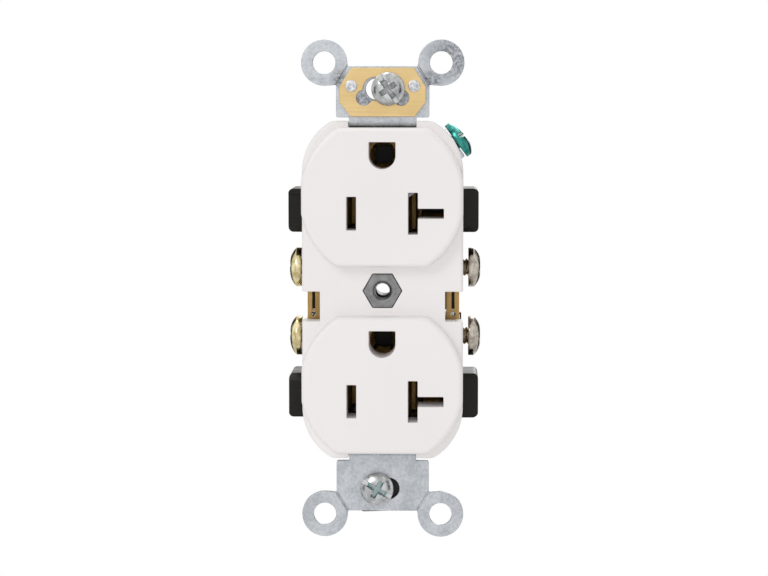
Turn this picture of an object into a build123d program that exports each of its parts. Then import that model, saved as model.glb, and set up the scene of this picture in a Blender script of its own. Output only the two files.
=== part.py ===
from build123d import *
import os

# A side-wired duplex receptacle on its mounting strap.
# Millimetres. X is to the right, Y goes back into the wall and Z is up.
# The origin is on the axis of the centre post, at the rear face of the strap's end plates,
# which is the face that meets the wall box.

# Layout of the two outlets, seen from the front
outlet_spacing = 38.9
slot_spacing = 12.7
slot_line_drop = 3.3
ground_hole_rise = 8.6
box_screw_spacing = 83.34
terminal_spacing = 14.6

# Depths of the main faces, measured back from the mounting plane
face_front = -6.5
bridge_front = -3.0
strap_step = 3.2
housing_back = 20.0

# Face cover
cover_width = 33.4
cover_height = 70.2
cover_corner_radius = 12.35
cover_corner_z = 24.4
cover_corner_blend = 2.0
cover_wall = 1.6
face_radius = 17.05
face_corner_blend = 3.0
face_height = 28.6
face_edge_radius = 1.1
cover_edge_radius = 0.7
face_thickness = 2.4
bridge_thickness = 1.7
guide_wall = 0.9
ground_guide_wall = 1.2
slot_width = 2.0
hot_slot_length = 6.9
neutral_slot_length = 8.6
cross_slot_width = 2.05
ground_hole_radius = 2.75
neck_notch_depth = 1.35
neck_pass_depth = 1.8
neck_side_gap = 0.1
tab_notch_height = 6.2
tab_notch_depth = 3.7

# Strap
strap_gauge = 1.3
strap_bend = 1.1
plate_width = 19.3
plate_inner_edge = 35.8
plate_end = 46.4
plate_corner_radius = 0.5
neck_width = 14.0
neck_flat = 1.5
neck_step_run = 1.6
web_width = 8.0
pad_height = 9.4
pad_hole_radius = 3.9
lower_pad_reach = 6.0
ear_x = 12.1
ear_z = 47.1
ear_radius = 4.77
ear_hole_radius = 2.35
ear_shoulder_z = 42.5
ear_break_inset = 2.45
score_width = 0.45
screw_slot_length = 7.0
screw_slot_height = 4.4
ground_arm_angle = 36.5
ground_arm_width = 7.0
ground_arm_exit = 15.4
ground_tab_reach = 18.6
ground_tab_depth = 13.0

# Grounding clip on the upper end plate
clip_gauge = 0.5
clip_margin = 0.75
clip_corner = 2.3
clip_corner_rise = 3.0
clip_corner_blend = 0.5
clip_slot_length = 8.2
clip_slot_height = 4.9
clip_lobe_x = 3.85
clip_lobe_drop = 1.8
clip_lobe_radius = 1.65
clip_rivet_x = 6.5
clip_rivet_rise = 0.6
clip_rivet_radius = 1.25
clip_rivet_height = 0.35
clip_rivet_shank = 0.75

# Buses and their contacts
bus_gauge = 0.8
bus_bend = 0.7
bus_outer_x = 16.1
rail_width = 2.9
rail_front = 4.2
contact_depth = 14.6
contact_gap = 0.8
contact_length = 6.2
contact_waist = 3.2
contact_mouth_flare = 0.8
contact_root_flare = 0.7
contact_belly = 0.45
contact_belly_run = 3.0
contact_bend = 0.6
contact_wide_bend = 0.8
contact_lip_lift = 0.2
cross_leaf_length = 4.3
cross_leaf_belly = 0.3
cross_leaf_gap = 0.9
cross_leaf_foot = 1.0
cross_leaf_back = 1.5
rail_edge_relief = 0.15
terminal_plate_height = 8.4
terminal_plate_depth = 14.6
tab_slit_width = 0.6
tab_slit_shares = (0.3, 0.95)
tab_hole_radius = 0.5
tab_hole_share = 0.15
tab_rib_half = 0.8

# Ground contacts
ground_contact_gauge = 0.7
ground_contact_depth = 13.0
ground_pinch_radius = 1.9
ground_pinch_share = 0.55
ground_ring_radius = 2.75
ground_ring_run = 0.8
ground_ring_draw = 0.1
ground_finger_gap = 0.8
ground_flange_width = 13.6
ground_flange_height = 8.0
ground_flange_corner = 1.5
ground_rivet_margin = 1.2
ground_rivet_radius = 1.2
ground_rivet_height = 0.5
ground_rivet_shank = 0.7

# Rear housing
housing_inset = 0.2
housing_end_inset = 2.0
housing_edge_radius = 1.0
pocket_clearance = 0.3
bay_wall_gap = 0.3
bay_back = 2.2
shoulder_reach = 20.0
shoulder_height = 9.2
shoulder_front = 4.8
shoulder_back = 18.6
shoulder_chamfer = 1.6
shoulder_corner_radius = 1.0
shoulder_pitch = 39.1

# Centre post
post_across_flats = 6.85
post_gap = 0.15
post_bore_radius = 1.75
post_shank_radius = 2.35
post_stake_radius = 2.9
post_stake_height = 0.5
post_chamfer = 0.4

# Screws
box_screw_head_radius = 3.45
box_screw_head_height = 1.9
box_screw_radius = 1.7
box_screw_length = 19.0
box_screw_offset = 1.15
box_screw_neck_radius = 1.45
box_screw_runout = 0.5
box_recess_turns = {1: 35, -1: 60}
terminal_head_radius = 4.17
terminal_head_height = 2.35
terminal_screw_radius = 1.9
terminal_screw_length = 7.6
terminal_axis_depth = 10.0
hot_screw_standoff = 1.3
neutral_screw_standoff = 1.8
terminal_recess_turn = 20
ground_head_radius = 4.05
ground_head_height = 2.1
ground_screw_standoff = 0.3
ground_axis_depth = 8.2
ground_recess_turn = 80
assembly_head_radius = 2.7
assembly_head_height = 1.8
assembly_screw_radius = 1.45
assembly_screw_bite = 5.2
assembly_boss_radius = 2.5
assembly_head_clearance = 0.4
assembly_x = 9.6
assembly_spacing = 23.0
assembly_recess_turn = 45
screw_hole_clearance = 0.3
head_rim_share = 0.5
head_dome_shares = (0.75, 0.87)
recess_width = 1.0
slot_depth = 1.0
cross_depth = 1.5
cross_share = 1.1

# Fibre washers that keep the box screws in their slots
retainer_thickness = 1.0
lower_retainer_width = 9.8
lower_retainer_height = 10.0
lower_retainer_corner = 0.8
lower_retainer_turn = 2.0
upper_retainer_radius = 3.0

# Sizes that follow from the ones above
outlet_z = outlet_spacing / 2
slot_x = slot_spacing / 2
strap_front = -strap_gauge
web_front = strap_step - strap_gauge
web_back = strap_step
side_x = cover_width / 2
bay_x = bus_outer_x - bus_gauge - bay_wall_gap
rail_back = rail_front + bus_gauge
rail_middle = rail_front + bus_gauge / 2
waist_depth = rail_front + contact_waist
leaf_back = contact_depth - bus_gauge / 2
leaf_grip = contact_gap / 2 + bus_gauge / 2
ground_rivet_x = ground_flange_width / 2 - ground_rivet_margin
line_centre = -slot_line_drop
slot_lines = [outlet_z - slot_line_drop, -outlet_z - slot_line_drop]
ground_holes = [outlet_z + ground_hole_rise, -outlet_z + ground_hole_rise]
terminal_rows = [line_centre + terminal_spacing / 2, line_centre - terminal_spacing / 2]
assembly_rows = [line_centre + assembly_spacing / 2, line_centre - assembly_spacing / 2]
assembly_seat = housing_back - assembly_head_height - assembly_head_clearance
box_screw_z = box_screw_spacing / 2
clip_rivet_z = box_screw_z + clip_rivet_rise
notch_floor = cover_height / 2 - neck_notch_depth
tab_x = bus_outer_x - rail_width / 2
tab_notch_x = side_x - tab_notch_depth
tab_notch_z = (line_centre - tab_notch_height / 2, line_centre + tab_notch_height / 2)
tab_slit_z = [tab_notch_z[0] + share * tab_notch_height for share in tab_slit_shares]
arm_direction = Vector(1, 0, 0).rotate(Axis.Y, -ground_arm_angle)
arm_root = Vector(0, 0, outlet_z)


def layer(outline, front, back):
    """A front-view outline made solid between two depths."""
    return extrude(Plane.XZ.offset(-back) * outline, back - front)


def block(x_range, y_range, z_range):
    """A box between two limits on each axis."""
    size = [high - low for low, high in (x_range, y_range, z_range)]
    middle = [(high + low) / 2 for low, high in (x_range, y_range, z_range)]
    return Pos(*middle) * Box(*size)


def side_block(side, x_range, y_range, z_range):
    """A box on the right (side 1) or the left (side -1) of the middle."""
    near, far = sorted(side * x for x in x_range)
    return block((near, far), y_range, z_range)


def pin(start, direction, radius, length):
    """A round bar from a point along a direction."""
    plane = Plane(origin=start, z_dir=direction)
    return plane * Cylinder(radius, length, align=(Align.CENTER, Align.CENTER, Align.MIN))


def peg(x, z, radius, front, back):
    """A round bar that runs straight back, between two depths."""
    return pin((x, front, z), (0, 1, 0), radius, back - front)


def folded(points, gauge, bend, start, end):
    """Folded sheet: a section in X and Y, through the middle of the metal, drawn up along Z."""
    line = FilletPolyline(*points, radius=bend)
    section = trace(line, gauge)
    return Pos(0, 0, start) * extrude(section, end - start, dir=(0, 0, 1))


def arm_frame(depth):
    """Frame on the ground arm: X runs out along the arm, Y back and Z across the arm."""
    origin = arm_root + Vector(0, depth, 0)
    return Plane(origin=origin, x_dir=arm_direction, z_dir=arm_direction.cross(Vector(0, 1, 0)))


# Outlines seen from the front


def body_outline(inset=0.0):
    """A rectangle with round corners that the flat ends cut short."""
    width = cover_width - 2 * inset
    outline = Rectangle(width, 2 * cover_corner_z)
    for z in (cover_corner_z, -cover_corner_z):
        outline += Pos(0, z) * SlotOverall(width, 2 * (cover_corner_radius - inset))
    outline = outline & Rectangle(width, cover_height - 2 * inset)
    ends = outline.vertices().group_by(Axis.Y)
    return fillet(ends[0] + ends[-1], cover_corner_blend)


def face_outline(z, inset=0.0):
    """A round outlet face with flats above and below."""
    flats = Rectangle(cover_width - 2 * inset, face_height - 2 * inset)
    outline = Circle(face_radius - inset) & flats
    return Pos(0, z) * fillet(outline.vertices(), face_corner_blend)


def hot_slot(z, margin=0.0):
    return Pos(-slot_x, z) * Rectangle(slot_width + 2 * margin, hot_slot_length + 2 * margin)


def neutral_slot(z, margin=0.0):
    """A T lying on its side: the blade may stand upright or lie across."""
    upright = Rectangle(slot_width + 2 * margin, neutral_slot_length + 2 * margin)
    cross = Pos(slot_x / 2, 0) * Rectangle(slot_x + 2 * margin, cross_slot_width + 2 * margin)
    return Pos(slot_x, z) * (upright + cross)


def ground_hole(z, margin=0.0):
    """A D on its back: round below, flat above."""
    radius = ground_hole_radius + margin
    return Pos(0, z) * (Circle(radius) + Pos(0, radius / 2) * Rectangle(2 * radius, radius))


def screw_slot(length, height):
    return SlotOverall(length, height)


def plate_corners(inset=0.0):
    """Half of an end plate's outline, from its neck to the middle of its end edge."""
    side = plate_width / 2 - inset
    return side, ear_shoulder_z - inset / 2, side - ear_break_inset, plate_end - inset / 2


def strap_outline():
    """The flat blank of the strap's plates, ears, necks and middle web."""
    half = plate_width / 2
    side, shoulder, break_x, end = plate_corners()
    height = plate_end - plate_inner_edge
    outline = Rectangle(web_width, 2 * plate_inner_edge)
    plate = Pos(0, (plate_end + plate_inner_edge) / 2) * Rectangle(plate_width, height)
    plate = fillet(plate.vertices().group_by(Axis.Y)[0], plate_corner_radius)
    trim = Polyline((side, shoulder), (side + 1, shoulder), (side + 1, end), (break_x, end), close=True)
    for mirrored in (False, True):
        corner = make_face(trim)
        plate -= mirror(corner, Plane.YZ) if mirrored else corner
    ear = Pos(ear_x, ear_z) * Circle(ear_radius)
    web_corner = Polyline(
        (half, shoulder), (ear_x, ear_z - ear_radius), (ear_x, ear_z), (ear_x - ear_radius, ear_z),
        (break_x, end), close=True,
    )
    ear += make_face(web_corner)
    ear -= Pos(ear_x, ear_z) * Circle(ear_hole_radius)
    end_plate = plate + ear + mirror(ear, Plane.YZ)
    end_plate -= Pos(0, box_screw_z) * screw_slot(screw_slot_length, screw_slot_height)
    outline += end_plate + mirror(end_plate, Plane.XZ)
    pad_ends = {1: ground_holes[0] - pad_height / 2, -1: slot_lines[1] - lower_pad_reach}
    for edge, pad_end in pad_ends.items():
        low, high = sorted((pad_end, edge * plate_inner_edge))
        outline += Pos(0, (low + high) / 2) * Rectangle(neck_width, high - low)
    outline += Pos(0, ground_holes[1]) * Rectangle(neck_width, pad_height)
    return outline


# The pieces


def make_face_cover():
    inner_front = face_front + face_thickness
    inner_bridge = bridge_front + bridge_thickness
    cover = layer(body_outline(), bridge_front, web_back)
    front_edges = cover.faces().sort_by(Axis.Y)[0].edges()
    cover = fillet(front_edges, cover_edge_radius)
    for z in (outlet_z, -outlet_z):
        raised = layer(face_outline(z), face_front, inner_bridge)
        raised = fillet(raised.faces().sort_by(Axis.Y)[0].edges(), face_edge_radius)
        cover += raised
    cover -= layer(body_outline(cover_wall), inner_bridge, web_back)
    for z in (outlet_z, -outlet_z):
        cover -= layer(face_outline(z, cover_wall), inner_front, inner_bridge)
    inside = layer(body_outline(cover_wall / 2), inner_front, web_back)
    cover += cover_ribs(inner_front, inner_bridge) & inside
    for z in slot_lines:
        cover -= layer(hot_slot(z) + neutral_slot(z), face_front, web_back)
    for z in ground_holes:
        cover -= layer(ground_hole(z), face_front, web_back)
    cover -= layer(hexagon(post_across_flats / 2 + post_gap), bridge_front, web_back)
    neck_gap = neck_width / 2 + neck_side_gap
    for end in (1, -1):
        z_range = sorted((end * notch_floor, end * cover_height))
        cover -= block((-neck_gap, neck_gap), (face_front, web_back), z_range)
        z_range = sorted((end * (notch_floor - neck_pass_depth), end * cover_height))
        cover -= block((-neck_gap, neck_gap), (inner_bridge, web_back), z_range)
    hole_front = web_back - assembly_screw_bite - screw_hole_clearance
    for side in (1, -1):
        cover -= side_block(side, (tab_notch_x, 2 * side_x), (face_front, web_back), tab_notch_z)
        for z in assembly_rows:
            cover -= peg(side * assembly_x, z, assembly_screw_radius, hole_front, web_back)
    reach = (ground_arm_exit, 2 * ground_tab_reach)
    cover -= arm_block(reach, (web_front, web_back), ground_arm_width + 2 * pocket_clearance)
    return cover


def cover_ribs(inner_front, inner_bridge):
    """Walls behind the notches, guides round the slots and bosses for the assembly screws."""
    ribs = layer(hexagon(post_across_flats / 2 + post_gap + guide_wall), inner_bridge, web_front)
    for end in (1, -1):
        z_range = sorted((end * notch_floor, end * (notch_floor - cover_wall)))
        ribs += block((-side_x, side_x), (inner_bridge, web_front), z_range)
    for z in slot_lines:
        ribs += layer(hot_slot(z, guide_wall) + neutral_slot(z, guide_wall), inner_front, web_front)
    for z in ground_holes:
        ribs += layer(ground_hole(z, ground_guide_wall), inner_front, web_front)
    low, high = tab_notch_z
    wall_x = (tab_notch_x - guide_wall, side_x - cover_wall)
    for side in (1, -1):
        ribs += side_block(side, wall_x, (inner_bridge, web_front), (low - guide_wall, high + guide_wall))
        for z in assembly_rows:
            ribs += peg(side * assembly_x, z, assembly_boss_radius, inner_front, web_back)
    return ribs


def hexagon(half_flats):
    """Flats above and below, points to the sides."""
    return RegularPolygon(half_flats, 6, major_radius=False)


def arm_block(reach, depths, width):
    """A box on the ground arm's line, from one radius and depth to another."""
    long, deep = reach[1] - reach[0], depths[1] - depths[0]
    middle = Pos((reach[0] + reach[1]) / 2, deep / 2, 0)
    return arm_frame(depths[0]) * (middle * Box(long, deep, width))


def make_mounting_strap():
    """One blank, stepped back behind both end plates, with an arm bent back for the ground screw."""
    middle = strap_gauge / 2
    far = 2 * plate_end
    step_start = plate_inner_edge - neck_flat
    step_end = step_start - neck_step_run
    fold = [
        (-middle, far), (-middle, step_start), (strap_step - middle, step_end),
        (strap_step - middle, -step_end), (-middle, -step_start), (-middle, -far),
    ]
    line = FilletPolyline(*fold, radius=strap_bend)
    section = Plane.YZ.offset(-plate_width) * trace(line, strap_gauge)
    sheet = extrude(section, 2 * plate_width, dir=(1, 0, 0))
    strap = sheet & layer(strap_outline(), -strap_gauge, web_back)
    arm_middle = web_front + middle
    out = ground_tab_reach - middle
    path = [(neck_width / 4, arm_middle), (out, arm_middle), (out, ground_tab_depth)]
    half = ground_arm_width / 2
    strap += arm_frame(0) * folded(path, strap_gauge, strap_bend, -half, half)
    for z in ground_holes:
        strap -= peg(0, z, pad_hole_radius, web_front, web_back)
        for side in (1, -1):
            strap -= peg(side * ground_rivet_x, z, ground_rivet_shank, web_front, web_back)
    strap -= peg(0, 0, post_shank_radius, web_front, web_back)
    strap -= pin(arm_point(0), arm_direction, terminal_screw_radius, ground_tab_reach)
    for side in (1, -1):
        strap -= peg(side * clip_rivet_x, clip_rivet_z, clip_rivet_shank, strap_front, 0)
        for end in (1, -1):
            strap -= score(side, end)
    return strap


def arm_point(reach):
    """A point on the ground screw's axis."""
    return arm_root + arm_direction * reach + Vector(0, ground_axis_depth, 0)


def score(side, end):
    """The groove along which an ear is snapped off."""
    x, z, break_x, end_z = plate_corners()
    start, stop = Vector(side * x, strap_front, end * z), Vector(side * break_x, strap_front, end * end_z)
    along = (stop - start).normalized()
    plane = Plane(origin=(start + stop) / 2, x_dir=along, z_dir=(0, -1, 0))
    return plane * (Rot(45, 0, 0) * Box(2 * (stop - start).length, score_width, score_width))


def make_ground_clip():
    """Thin brass plate that follows the end plate and grips the box screw."""
    side, shoulder, break_x, end = plate_corners(clip_margin)
    low = plate_inner_edge + clip_margin / 4
    half = [
        (0, end), (break_x, end), (side, shoulder), (side, low + clip_corner_rise),
        (side - clip_corner, low), (0, low),
    ]
    outline = make_face(Polyline(*half, close=True))
    outline += mirror(outline, Plane.YZ)
    corners = [v for v in outline.vertices() if abs(v.X) > 1]
    outline = fillet(corners, clip_corner_blend)
    outline -= Pos(0, box_screw_z) * screw_slot(clip_slot_length, clip_slot_height)
    for side_sign in (1, -1):
        outline -= Pos(side_sign * clip_lobe_x, box_screw_z - clip_lobe_drop) * Circle(clip_lobe_radius)
        outline -= Pos(side_sign * clip_rivet_x, clip_rivet_z) * Circle(clip_rivet_shank)
    return layer(outline, strap_front - clip_gauge, strap_front)


def make_clip_rivet(side):
    """Round head with a dimple, its shank flush with the back of the strap."""
    x, z = side * clip_rivet_x, clip_rivet_z
    seat = strap_front - clip_gauge
    front = seat - clip_rivet_height
    rivet = peg(x, z, clip_rivet_radius, front, seat)
    rivet = fillet(rivet.faces().sort_by(Axis.Y)[0].edges(), clip_rivet_height / 2)
    rivet -= peg(x, z, clip_rivet_radius / 2, front, front + clip_rivet_height / 2)
    return rivet + peg(x, z, clip_rivet_shank, front + clip_rivet_height / 2, 0)


def make_bus(side):
    """One brass sheet: a rail, two contacts, two terminal plates and a tab that can be snapped out."""
    near, far = slot_x - leaf_grip, slot_x + leaf_grip
    belly_front = waist_depth + contact_belly_run
    clip = [
        (near - contact_mouth_flare, rail_front + contact_lip_lift),
        (near, waist_depth),
        (near - contact_belly, belly_front),
        (near - contact_belly, leaf_back),
        (far + contact_belly, leaf_back),
        (far + contact_belly, belly_front),
        (far, waist_depth),
        (far + contact_root_flare, rail_middle),
        (tab_x, rail_middle),
    ]
    tight, wide = contact_bend, contact_wide_bend
    bend_radii = [wide, wide, tight, tight, wide, wide, tight]
    length = neutral_slot_length if side > 0 else contact_length
    rail_x = (bus_outer_x - rail_width, bus_outer_x)
    bus = None
    for z in slot_lines:
        line = FilletPolyline(*clip, radius=bend_radii)
        section = trace(line, bus_gauge)
        leaves = Pos(0, 0, z - length / 2) * extrude(section, length, dir=(0, 0, 1))
        if side > 0:
            leaves = cut_for_cross_blade(leaves, z)
        bus = leaves + bus
    rail_z = (slot_lines[1] - length / 2, slot_lines[0] + length / 2)
    bus += block(rail_x, (rail_front, rail_back), rail_z)
    plate_x = bus_outer_x - bus_gauge / 2
    for z in terminal_rows:
        half = terminal_plate_height / 2
        foot = rail_x[0] + bus_gauge
        bend = [(foot, rail_middle), (plate_x, rail_middle), (plate_x, terminal_plate_depth)]
        bus += folded(bend, bus_gauge, bus_bend, z - half, z + half)
        bus -= pin((bay_x, terminal_axis_depth, z), (1, 0, 0), terminal_screw_radius, 2 * bus_gauge)
    bus -= folded_corner_relief(rail_z)
    half_slit = tab_slit_width / 2
    hole_z = tab_notch_z[0] + tab_hole_share * tab_notch_height
    bus -= block((tab_x - half_slit, tab_x + half_slit), (rail_front, rail_back), tab_slit_z)
    bus -= peg(tab_x, hole_z, tab_hole_radius, rail_front, rail_back)
    return bus if side > 0 else mirror(bus, Plane.YZ)


def folded_corner_relief(rail_z):
    """Rounds the rail's outer edge away where no terminal plate turns back from it."""
    half = terminal_plate_height / 2
    relief = None
    limits = [
        (rail_z[0] - 1, terminal_rows[1] - half), (terminal_rows[1] + half, terminal_rows[0] - half),
        (terminal_rows[0] + half, rail_z[1] + 1),
    ]
    edge = (bus_outer_x - rail_edge_relief, bus_outer_x + 1)
    for low, high in limits:
        relief = block(edge, (rail_front, rail_back), (low, high)) + relief
    return relief


def cut_for_cross_blade(leaves, z):
    """Opens the contact for the lying blade and gives it a leaf above and one below."""
    leaf_x = (slot_spacing - cross_leaf_length, slot_spacing)
    opening = (slot_x + slot_width / 2, bus_outer_x - rail_width)
    half_open = leaf_grip + cross_leaf_gap
    leaves -= block(opening, (rail_front - 1, leaf_back - bus_gauge), (z - half_open, z + half_open))
    belly = leaf_grip + cross_leaf_belly
    leaf = [
        (half_open + cross_leaf_foot, rail_middle),
        (leaf_grip + contact_root_flare, rail_middle),
        (leaf_grip, waist_depth),
        (belly, waist_depth + contact_belly_run),
        (belly, leaf_back - cross_leaf_back),
    ]
    bend_radii = [contact_bend, contact_wide_bend, contact_wide_bend]
    section = trace(FilletPolyline(*leaf, radius=bend_radii), bus_gauge)
    # the section's X becomes height and its Y stays depth
    upper = Plane(origin=(leaf_x[0], 0, 0), x_dir=(0, 0, 1), z_dir=(-1, 0, 0)) * section
    upper = extrude(upper, leaf_x[1] - leaf_x[0], dir=(1, 0, 0))
    both = upper + mirror(upper, Plane.XY)
    return leaves + Pos(0, 0, z) * both


def make_ground_contact(z):
    """A flanged brass tube, waisted to grip the pin and split into four fingers."""
    ring, pinch, gauge = ground_ring_radius, ground_pinch_radius, ground_contact_gauge
    depth = ground_contact_depth
    ring_end = web_back + ground_ring_run
    inner = [
        (ring, web_back), (ring, ring_end), (pinch, ground_pinch_share * depth),
        (ring - ground_ring_draw, depth),
    ]
    outer = [(r + gauge, y) for r, y in reversed(inner)]
    tube = revolve(make_face(Polyline(*inner, *outer, close=True)), Axis.Y)
    half_gap = ground_finger_gap / 2
    for turn in (45, 135):
        cut = block((-2 * ring, 2 * ring), (ring_end, depth + 1), (-half_gap, half_gap))
        tube -= Rot(0, turn, 0) * cut
    flange = RectangleRounded(ground_flange_width, ground_flange_height, ground_flange_corner)
    flange -= Circle(ring)
    for side in (1, -1):
        flange -= Pos(side * ground_rivet_x, 0) * Circle(ground_rivet_shank)
    contact = tube + layer(flange, web_back, web_back + gauge)
    return Pos(0, 0, z) * contact


def make_ground_rivets(z):
    """Two rivets through a ground contact's flange and the strap."""
    rivets = []
    tail = web_back + ground_contact_gauge
    head = web_front - ground_rivet_height
    end = tail + ground_rivet_height
    for side in (1, -1):
        x = side * ground_rivet_x
        rivet = peg(x, z, ground_rivet_shank, head, end)
        rivet += peg(x, z, ground_rivet_radius, head, web_front)
        rivet += peg(x, z, ground_rivet_radius, tail, end)
        rivets.append(rivet)
    return Compound(children=rivets)


def make_rear_housing():
    ends = cover_height / 2 - housing_end_inset
    outline = body_outline(housing_inset) & Rectangle(cover_width, 2 * ends)
    housing = layer(outline, web_back, housing_back)
    housing = fillet(housing.faces().sort_by(Axis.Y)[-1].edges(), housing_edge_radius)
    for side in (1, -1):
        for end in (1, -1):
            housing += shoulder(side, end)
    half_bay = shoulder_pitch / 2 - shoulder_height / 2
    bay_z = (line_centre - half_bay, line_centre + half_bay)
    rib_depths = (rail_back + pocket_clearance, housing_back - bay_back)
    for side in (1, -1):
        housing -= side_block(side, (bay_x, 2 * side_x), (web_back, housing_back - bay_back), bay_z)
        housing -= side_block(side, (tab_notch_x, 2 * side_x), (web_back, housing_back), tab_notch_z)
        housing += side_block(side, (tab_notch_x, tab_x + tab_rib_half), rib_depths, tab_slit_z)
        housing -= bus_pockets(side)
        for z in assembly_rows:
            x = side * assembly_x
            housing -= peg(x, z, assembly_screw_radius + screw_hole_clearance, web_back, housing_back)
            housing -= peg(x, z, assembly_head_radius + screw_hole_clearance, assembly_seat, housing_back)
    for z in ground_holes:
        housing -= ground_pocket(z)
    housing -= peg(0, 0, post_bore_radius + 2 * screw_hole_clearance, web_back, housing_back)
    stake_back = web_back + post_stake_height + screw_hole_clearance
    housing -= peg(0, 0, post_stake_radius + screw_hole_clearance, web_back, stake_back)
    tab_reach = (ground_tab_reach - strap_gauge - strap_bend, 2 * ground_tab_reach)
    tab_depths = (web_back, ground_tab_depth + pocket_clearance)
    housing -= arm_block(tab_reach, tab_depths, 2 * (ground_head_radius + pocket_clearance))
    shank = terminal_screw_radius + screw_hole_clearance
    start = ground_tab_reach - terminal_screw_length
    housing -= pin(arm_point(start), arm_direction, shank, ground_tab_reach)
    return housing


def shoulder(side, end):
    """A block beside the outlet that guards the terminals, its inner front edge sloped for the wire."""
    z = line_centre + end * shoulder_pitch / 2
    half = shoulder_height / 2
    length = shoulder_reach - bay_x + 1
    outline = Rectangle(length, shoulder_height)
    outline = fillet(outline.vertices().group_by(Axis.X)[-1], shoulder_corner_radius)
    outline = Pos(shoulder_reach - length / 2, z) * outline
    body = layer(outline, shoulder_front, shoulder_back)
    corner = Polyline(
        (shoulder_front - 1, z - end * (half - shoulder_chamfer - 1)),
        (shoulder_front - 1, z - end * (half + 1)),
        (shoulder_front + shoulder_chamfer + 1, z - end * (half + 1)), close=True,
    )
    body -= extrude(Plane.YZ * make_face(corner), 2 * shoulder_reach, dir=(1, 0, 0))
    return body if side > 0 else mirror(body, Plane.YZ)


def bus_pockets(side):
    """Room for a bus: its rail's channel, its two contacts and the tails of its screws."""
    gap = pocket_clearance
    length = neutral_slot_length if side > 0 else contact_length
    inner_x = slot_x - leaf_grip - bus_gauge / 2 - contact_mouth_flare - gap
    pockets = side_block(
        side, (bus_outer_x - rail_width - gap, 2 * side_x), (web_back, rail_back),
        (slot_lines[1] - length / 2 - gap, slot_lines[0] + length / 2 + gap),
    )
    for z in slot_lines:
        half = length / 2 + gap
        reach = (inner_x, bus_outer_x - rail_width + gap)
        pockets += side_block(side, reach, (web_back, contact_depth + gap), (z - half, z + half))
    for z in terminal_rows:
        tail_x = bus_outer_x - terminal_screw_length
        hole = terminal_screw_radius + screw_hole_clearance
        pockets += pin((side * side_x, terminal_axis_depth, z), (-side, 0, 0), hole, side_x - tail_x)
    return pockets


def ground_pocket(z):
    """Room for a ground contact, its flange and its rivets' tails."""
    gap = pocket_clearance
    flange_back = web_back + ground_contact_gauge
    radius = ground_ring_radius + ground_contact_gauge + gap
    pocket = peg(0, z, radius, web_back, ground_contact_depth + gap)
    width, height = ground_flange_width + 2 * gap, ground_flange_height + 2 * gap
    flange = RectangleRounded(width, height, ground_flange_corner)
    pocket += Pos(0, 0, z) * layer(flange, web_back, flange_back)
    rivet_end = flange_back + ground_rivet_height + gap
    for side in (1, -1):
        pocket += peg(side * ground_rivet_x, z, ground_rivet_radius + gap, flange_back, rivet_end)
    return pocket


def make_centre_post():
    """Hexagonal nut staked to the strap, threaded for the wall plate's screw."""
    post = layer(hexagon(post_across_flats / 2), bridge_front, web_front)
    post += peg(0, 0, post_shank_radius, web_front, web_back)
    post += peg(0, 0, post_stake_radius, web_back, web_back + post_stake_height)
    post -= peg(0, 0, post_bore_radius, bridge_front, housing_back)
    mouth = post.faces().sort_by(Axis.Y)[0].edges().filter_by(GeomType.CIRCLE)
    return chamfer(mouth, post_chamfer)


def make_screw(seat, direction, head_radius, head_height, shank_radius, shank_length, turn):
    """Pan head with a slot crossed by a Phillips recess; direction points from the seat into the head."""
    rim = head_rim_share * head_height
    dome_out, dome_up = head_dome_shares
    dome_point = (dome_out * head_radius, dome_up * head_height)
    dome = ThreePointArc((head_radius, rim), dome_point, (0, head_height))
    outline = Line((0, 0), (head_radius, 0)) + Line((head_radius, 0), (head_radius, rim)) + dome
    outline += Line((0, head_height), (0, 0))
    head = revolve(Plane.XZ * make_face(outline), Axis.Z)
    cross_length = cross_share * head_radius
    recess = Box(3 * head_radius, recess_width, 2 * slot_depth)
    recess += Box(recess_width, cross_length, 2 * cross_depth)
    recess += Box(cross_length, recess_width, 2 * cross_depth)
    head -= Pos(0, 0, head_height) * (Rot(0, 0, turn) * recess)
    shank = Cylinder(shank_radius, shank_length, align=(Align.CENTER, Align.CENTER, Align.MAX))
    shank = chamfer(shank.faces().sort_by(Axis.Z)[0].edges(), shank_radius / 3)
    return Plane(origin=seat, z_dir=direction) * (head + shank)


def make_box_screw(end):
    """Captive screw for the wall box. Its washer sits on a neck, which is thinner than the thread."""
    seat = strap_front - (clip_gauge if end > 0 else 0)
    x, z = end * box_screw_offset, end * box_screw_z
    screw = make_screw(
        (x, seat, z), (0, -1, 0), box_screw_head_radius, box_screw_head_height, box_screw_radius,
        box_screw_length, box_recess_turns[end],
    )
    thread_start = retainer_thickness + box_screw_runout
    neck = peg(x, z, box_screw_neck_radius, seat, thread_start)
    return screw - (peg(x, z, 2 * box_screw_radius, seat, thread_start) - neck)


def make_terminal_screw(side, z):
    standoff = neutral_screw_standoff if side > 0 else hot_screw_standoff
    seat = (side * (bus_outer_x + standoff), terminal_axis_depth, z)
    return make_screw(
        seat, (side, 0, 0), terminal_head_radius, terminal_head_height, terminal_screw_radius,
        terminal_screw_length - standoff, terminal_recess_turn,
    )


def make_ground_screw():
    seat = arm_point(ground_tab_reach + ground_screw_standoff)
    return make_screw(
        seat, arm_direction, ground_head_radius, ground_head_height, terminal_screw_radius,
        terminal_screw_length - screw_hole_clearance, ground_recess_turn,
    )


def make_assembly_screw(side, z):
    """Long screw from the back of the housing into a boss of the face cover."""
    length = assembly_seat - web_back + assembly_screw_bite
    return make_screw(
        (side * assembly_x, assembly_seat, z), (0, 1, 0), assembly_head_radius, assembly_head_height,
        assembly_screw_radius, length, assembly_recess_turn,
    )


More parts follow.
